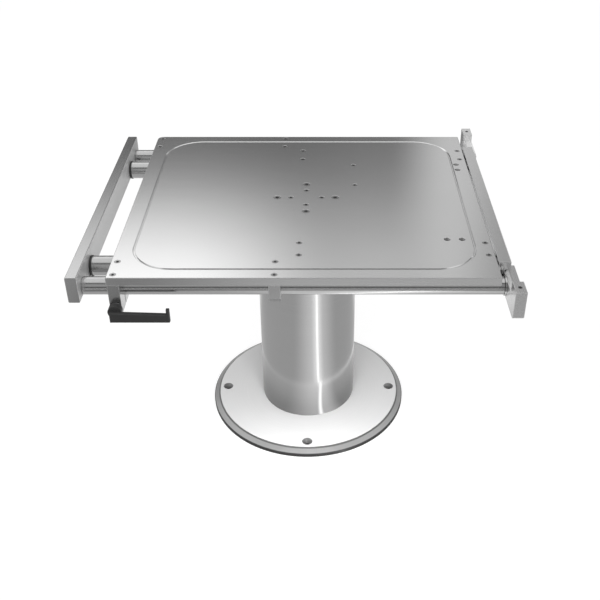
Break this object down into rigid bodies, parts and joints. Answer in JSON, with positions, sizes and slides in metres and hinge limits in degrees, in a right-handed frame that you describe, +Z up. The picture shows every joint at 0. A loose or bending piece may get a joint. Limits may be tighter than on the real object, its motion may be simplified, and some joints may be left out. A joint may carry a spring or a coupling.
{
  "type": "electric table pedestal",
  "caption": "Low electric lifting table pedestal: round base, telescopic column and a rectangular top plate over two sliding frames on rods and tubes, with a clamp lever.",
  "frame": {"origin": "centre of the base's bolt circle, on the deck", "axes": "+X to the side with the lugs, -Y to the side with the clamp lever, +Z up the column"},
  "size_m": [0.768, 0.676, 0.491],
  "materials": {
    "gasket_rubber": "matt black",
    "base_metal": "turned, satin anodised",
    "column_metal": "polished and anodised",
    "plain_metal": "machined",
    "plate_metal": "satin anodised",
    "bar_metal": "satin anodised",
    "block_metal": "satin anodised",
    "rod_steel": "ground stainless steel",
    "screw_steel": "stainless steel",
    "black_plastic": "moulded, fine grain",
    "glide_plastic": "plain bearing plastic",
    "actuator_paint": "satin black paint",
    "actuator_tube": "plain anodised"
  },
  "bodies": {
    "base": {"base_gasket": "gasket_rubber", "base_flange": "base_metal", "foot_ring_screws": "screw_steel", "cable_grommet": "gasket_rubber", "outer_tube": "column_metal", "foot_ring": "plain_metal", "upper_guide_ring": "black_plastic", "wiper_seal": "gasket_rubber", "actuator_foot_bracket": "plain_metal", "foot_bracket_screws": "screw_steel", "gear_case": "actuator_paint", "motor": "actuator_paint", "actuator_tube": "actuator_tube", "lower_pin": "rod_steel"},
    "lift": {"inner_tube": "column_metal", "lower_glide_ring": "glide_plastic", "head_flange": "plain_metal", "actuator_head_bracket": "plain_metal", "piston_rod": "rod_steel", "upper_pin": "rod_steel", "top_plate": "plate_metal", "clamp_block": "block_metal", "rear_left_rod_block": "block_metal", "front_middle_rod_block": "block_metal", "rear_middle_rod_block": "block_metal", "front_middle_tube_block": "block_metal", "rear_middle_tube_block": "block_metal", "front_right_tube_block": "block_metal", "rear_right_tube_block": "block_metal", "rear_left_rod_bush": "glide_plastic", "front_middle_rod_bush": "glide_plastic", "rear_middle_rod_bush": "glide_plastic", "front_middle_tube_bush": "glide_plastic", "rear_middle_tube_bush": "glide_plastic", "front_right_tube_bush": "glide_plastic", "rear_right_tube_bush": "glide_plastic", "block_screws": "screw_steel", "column_screws": "screw_steel", "head_bracket_bolts": "screw_steel", "control_unit": "black_plastic", "control_unit_screws": "screw_steel"},
    "left_slide": {"left_bar": "bar_metal", "front_rod": "rod_steel", "rear_rod": "rod_steel", "front_stop_washer": "rod_steel", "rear_stop_washer": "rod_steel", "rod_screws": "screw_steel", "stop_screws": "screw_steel"},
    "right_slide": {"right_bar": "bar_metal", "front_lug_arm": "bar_metal", "rear_lug_arm": "bar_metal", "lug_arm_screws": "screw_steel", "front_tube": "rod_steel", "rear_tube": "rod_steel", "front_tube_plug": "black_plastic", "rear_tube_plug": "black_plastic", "tube_screws": "screw_steel"},
    "lock_lever": {"clamp_lever": "black_plastic", "clamp_stud": "rod_steel", "lever_washer": "rod_steel"}
  },
  "joints": [
    {"name": "lift_slide", "type": "slide", "parent": "base", "child": "lift", "axis": [0, 0, 1], "range_m": [0, 0.27]},
    {"name": "left_frame_slide", "type": "slide", "parent": "lift", "child": "left_slide", "axis": [-1, 0, 0], "range_m": [0, 0.38]},
    {"name": "right_frame_slide", "type": "slide", "parent": "lift", "child": "right_slide", "axis": [1, 0, 0], "range_m": [0, 0.355]},
    {"name": "lever_turn", "type": "hinge", "parent": "lift", "child": "lock_lever", "pos_m": [-0.322, -0.2925, 0.43], "axis": [0, 1, 0], "range_deg": [0, 90]}
  ]
}
